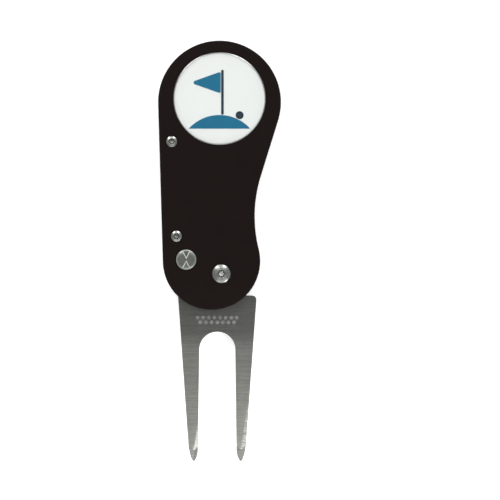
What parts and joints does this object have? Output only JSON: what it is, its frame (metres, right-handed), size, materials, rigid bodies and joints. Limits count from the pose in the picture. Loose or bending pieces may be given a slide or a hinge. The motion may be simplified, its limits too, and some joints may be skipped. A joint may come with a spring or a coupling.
{
  "type": "divot repair tool",
  "caption": "Pocket divot tool with a tined fork that flips out of a slim handle, a release button and a magnetic ball marker.",
  "frame": {"origin": "on the back face, at the middle of the open tool's length and width", "axes": "+Z out of the front cover, +Y from the tines to the head, +X to the right seen from the front"},
  "size_m": [0.0338, 0.1158, 0.0103],
  "materials": {
    "cover": "near-black matte anodised",
    "spacer": "matte black",
    "fork_steel": "brushed across the fork",
    "button_steel": "satin turned",
    "fastener_steel": "satin",
    "spring_steel": "blued, satin",
    "bronze": "plain bronze",
    "brass": "turned",
    "magnet": "nickel plate",
    "marker_metal": "polished nickel plate",
    "marker_print": "white printed disc",
    "clear_resin": "clear gloss dome"
  },
  "bodies": {
    "handle": {"back_cover": "cover", "front_cover": "cover", "spine_spacer": "spacer", "pivot_barrel": "fastener_steel", "pivot_screw": "fastener_steel", "back_washer": "bronze", "front_washer": "bronze", "torsion_spring": "spring_steel", "latch_leaf": "spring_steel", "latch_screw": "fastener_steel", "stop_pin": "fastener_steel", "standoff_upper": "brass", "standoff_lower": "brass", "cover_screw_upper": "fastener_steel", "cover_screw_lower": "fastener_steel", "marker_magnet": "magnet"},
    "fork": {"fork": "fork_steel"},
    "button": {"lock_button": "button_steel"},
    "marker": {"marker_cup": "marker_metal", "marker_print": "marker_print", "marker_dome": "clear_resin"}
  },
  "joints": [
    {"name": "fork_swing", "type": "hinge", "parent": "handle", "child": "fork", "pos_m": [0.0005, -0.0062, 0.0045], "axis": [0, 0, 1], "range_deg": [0, 183], "stiffness_Nm_per_rad": 0.012, "springref_deg": -68.75, "deforming": ["torsion_spring", "latch_leaf"]},
    {"name": "button_press", "type": "slide", "parent": "handle", "child": "button", "axis": [0, 0, -1], "range_m": [0, 0.0014], "stiffness_N_per_m": 1400, "springref_m": -0.0007, "deforming": ["latch_leaf"]},
    {"name": "marker_lift", "type": "slide", "parent": "handle", "child": "marker", "axis": [0, 0, 1], "range_m": [0, 0.012]}
  ]
}
